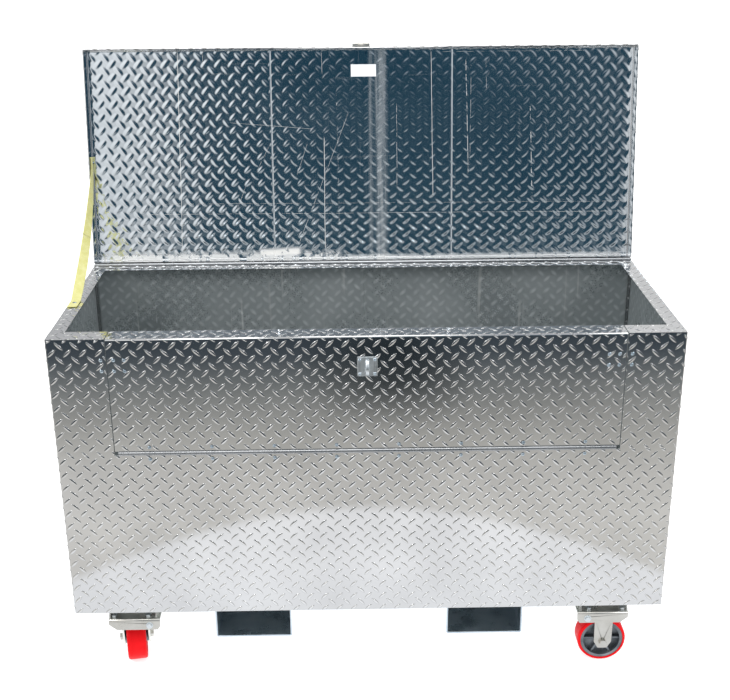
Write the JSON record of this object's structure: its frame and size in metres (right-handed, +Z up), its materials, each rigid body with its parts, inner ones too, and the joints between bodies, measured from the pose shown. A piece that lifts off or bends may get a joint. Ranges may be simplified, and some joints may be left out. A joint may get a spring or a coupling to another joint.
{
  "type": "jobsite storage box",
  "caption": "Lidded jobsite tool box of aluminium tread plate with a fold-down front gate, hasp, lid strap, forklift pockets and swivel and rigid casters.",
  "frame": {"origin": "on the ground, at the centre of the whole outline with the lid open", "axes": "+X along the box to the right as seen from its front, +Y to the back, +Z up"},
  "size_m": [1.524, 0.775, 1.5355],
  "materials": {
    "tread_plate": "bright rolled tread plate",
    "hinge_aluminium": "mill finish",
    "rivet_aluminium": "bright",
    "pocket_plate": "mill finish, dull",
    "zinc_steel": "zinc plated",
    "cast_core": "as cast, dark grey",
    "red_polyurethane": "smooth satin",
    "webbing": "woven",
    "paper": "blank label"
  },
  "bodies": {
    "box": {"floor_panel": "tread_plate", "front_panel": "tread_plate", "back_panel": "tread_plate", "left_side_panel": "tread_plate", "right_side_panel": "tread_plate", "gate_hinge_lower_leaf": "hinge_aluminium", "gate_hinge_pin": "hinge_aluminium", "front_panel_rivets": "rivet_aluminium", "left_bolt_keeper": "zinc_steel", "right_bolt_keeper": "zinc_steel", "lid_hinge_lower_leaf": "hinge_aluminium", "lid_hinge_pin": "hinge_aluminium", "lid_strap": "webbing", "strap_lower_rivet": "rivet_aluminium", "left_fork_pocket": "pocket_plate", "right_fork_pocket": "pocket_plate", "front_left_caster_bracket": "zinc_steel", "front_right_caster_bracket": "zinc_steel", "back_left_caster_bracket": "zinc_steel", "back_right_caster_bracket": "zinc_steel", "front_left_swivel_plate": "zinc_steel", "back_left_swivel_plate": "zinc_steel", "front_right_rigid_fork": "zinc_steel", "back_right_rigid_fork": "zinc_steel", "bracket_face_bolts": "zinc_steel", "caster_plate_bolts": "zinc_steel", "swivel_kingpins": "zinc_steel", "rigid_caster_axles": "zinc_steel"},
    "gate": {"gate_panel": "tread_plate", "gate_hinge_upper_leaf": "hinge_aluminium", "gate_rivets": "rivet_aluminium", "padlock_staple": "zinc_steel", "staple_rivets": "rivet_aluminium", "left_bolt_housing": "zinc_steel", "right_bolt_housing": "zinc_steel"},
    "left_bolt": {"left_slide_bolt": "zinc_steel"},
    "right_bolt": {"right_slide_bolt": "zinc_steel"},
    "lid": {"lid_panel": "tread_plate", "lid_hinge_upper_leaf": "hinge_aluminium", "hasp_base": "zinc_steel", "hasp_pin": "zinc_steel", "hasp_rivets": "rivet_aluminium", "blank_label": "paper", "strap_upper_rivet": "rivet_aluminium"},
    "hasp": {"hasp_leaf": "zinc_steel"},
    "front_left_swivel": {"front_left_swivel_fork": "zinc_steel", "front_left_axle": "zinc_steel"},
    "back_left_swivel": {"back_left_swivel_fork": "zinc_steel", "back_left_axle": "zinc_steel"},
    "front_left_wheel": {"front_left_wheel_core": "cast_core", "front_left_wheel_tread": "red_polyurethane"},
    "front_right_wheel": {"front_right_wheel_core": "cast_core", "front_right_wheel_tread": "red_polyurethane"},
    "back_left_wheel": {"back_left_wheel_core": "cast_core", "back_left_wheel_tread": "red_polyurethane"},
    "back_right_wheel": {"back_right_wheel_core": "cast_core", "back_right_wheel_tread": "red_polyurethane"}
  },
  "joints": [
    {"name": "lid_hinge", "type": "hinge", "parent": "box", "child": "lid", "pos_m": [0, 0.22792, 0.94725], "axis": [1, 0, 0], "range_deg": [0, 100], "deforming": ["lid_strap"]},
    {"name": "hasp_hinge", "type": "hinge", "parent": "lid", "child": "hasp", "pos_m": [0, 0.38348, 1.53151], "axis": [1, 0, 0], "range_deg": [-8, 260]},
    {"name": "gate_hinge", "type": "hinge", "parent": "box", "child": "gate", "pos_m": [0, -0.36499, 0.647], "axis": [1, 0, 0], "range_deg": [0, 160]},
    {"name": "left_bolt_slide", "type": "slide", "parent": "gate", "child": "left_bolt", "axis": [-1, 0, 0], "range_m": [0, 0.025]},
    {"name": "right_bolt_slide", "type": "slide", "parent": "gate", "child": "right_bolt", "axis": [1, 0, 0], "range_m": [0, 0.025]},
    {"name": "front_left_swivel_turn", "type": "hinge", "parent": "box", "child": "front_left_swivel", "pos_m": [-0.619, -0.30849, 0.15], "axis": [0, 0, 1], "continuous": true},
    {"name": "front_left_wheel_spin", "type": "hinge", "parent": "front_left_swivel", "child": "front_left_wheel", "pos_m": [-0.62438, -0.27796, 0.0635], "axis": [0.9848, 0.1736, 0], "continuous": true},
    {"name": "front_right_wheel_spin", "type": "hinge", "parent": "box", "child": "front_right_wheel", "pos_m": [0.619, -0.30849, 0.0635], "axis": [0, 1, 0], "continuous": true},
    {"name": "back_left_swivel_turn", "type": "hinge", "parent": "box", "child": "back_left_swivel", "pos_m": [-0.619, 0.16651, 0.15], "axis": [0, 0, 1], "continuous": true},
    {"name": "back_left_wheel_spin", "type": "hinge", "parent": "back_left_swivel", "child": "back_left_wheel", "pos_m": [-0.60639, 0.19484, 0.0635], "axis": [0.9135, -0.4067, 0], "continuous": true},
    {"name": "back_right_wheel_spin", "type": "hinge", "parent": "box", "child": "back_right_wheel", "pos_m": [0.619, 0.16651, 0.0635], "axis": [0, 1, 0], "continuous": true}
  ]
}
